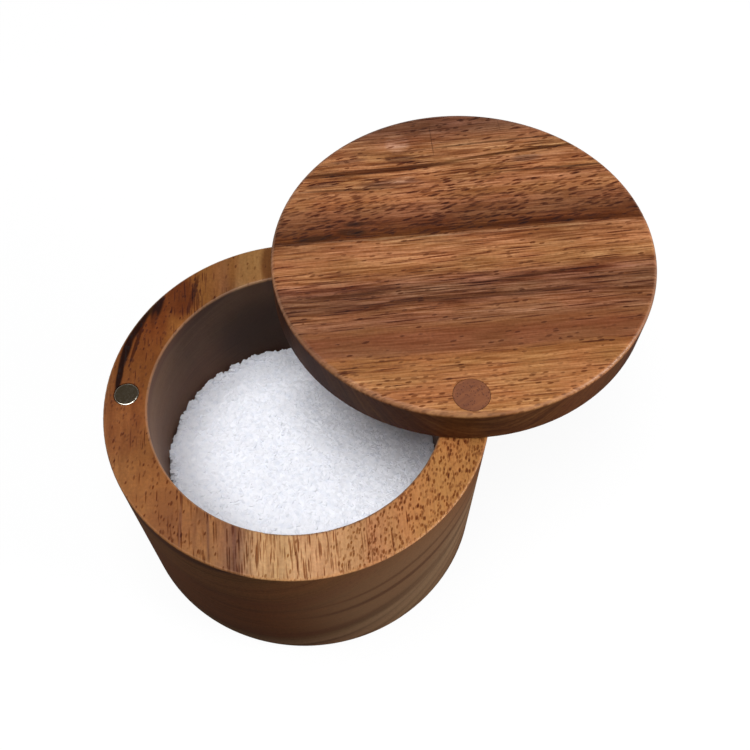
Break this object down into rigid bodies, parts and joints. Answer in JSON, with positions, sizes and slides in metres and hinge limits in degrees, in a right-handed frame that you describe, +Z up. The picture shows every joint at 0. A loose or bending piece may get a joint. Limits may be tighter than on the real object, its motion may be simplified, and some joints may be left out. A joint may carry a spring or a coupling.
{
  "type": "salt box",
  "caption": "Round wooden salt box whose flat lid swivels level about an upright dowel and shuts on a magnet catch, swung open over a low heap of salt.",
  "frame": {"origin": "middle of the foot, on the surface that the box stands on", "axes": "+Z up; +X from the middle of the box to the dowel that the lid turns about"},
  "size_m": [0.1229, 0.1292, 0.0618],
  "materials": {
    "acacia": "satin",
    "dowel_wood": "satin",
    "nickel": "polished",
    "salt": "matte"
  },
  "bodies": {
    "box": {"body": "acacia", "rim_magnet": "nickel", "salt": "salt"},
    "swivel_lid": {"lid": "acacia", "pivot_dowel": "dowel_wood", "lid_magnet": "nickel"}
  },
  "joints": [
    {"name": "lid_swivel", "type": "hinge", "parent": "box", "child": "swivel_lid", "pos_m": [0.0398, 0, 0.051], "axis": [0, 0, -1], "continuous": true}
  ]
}
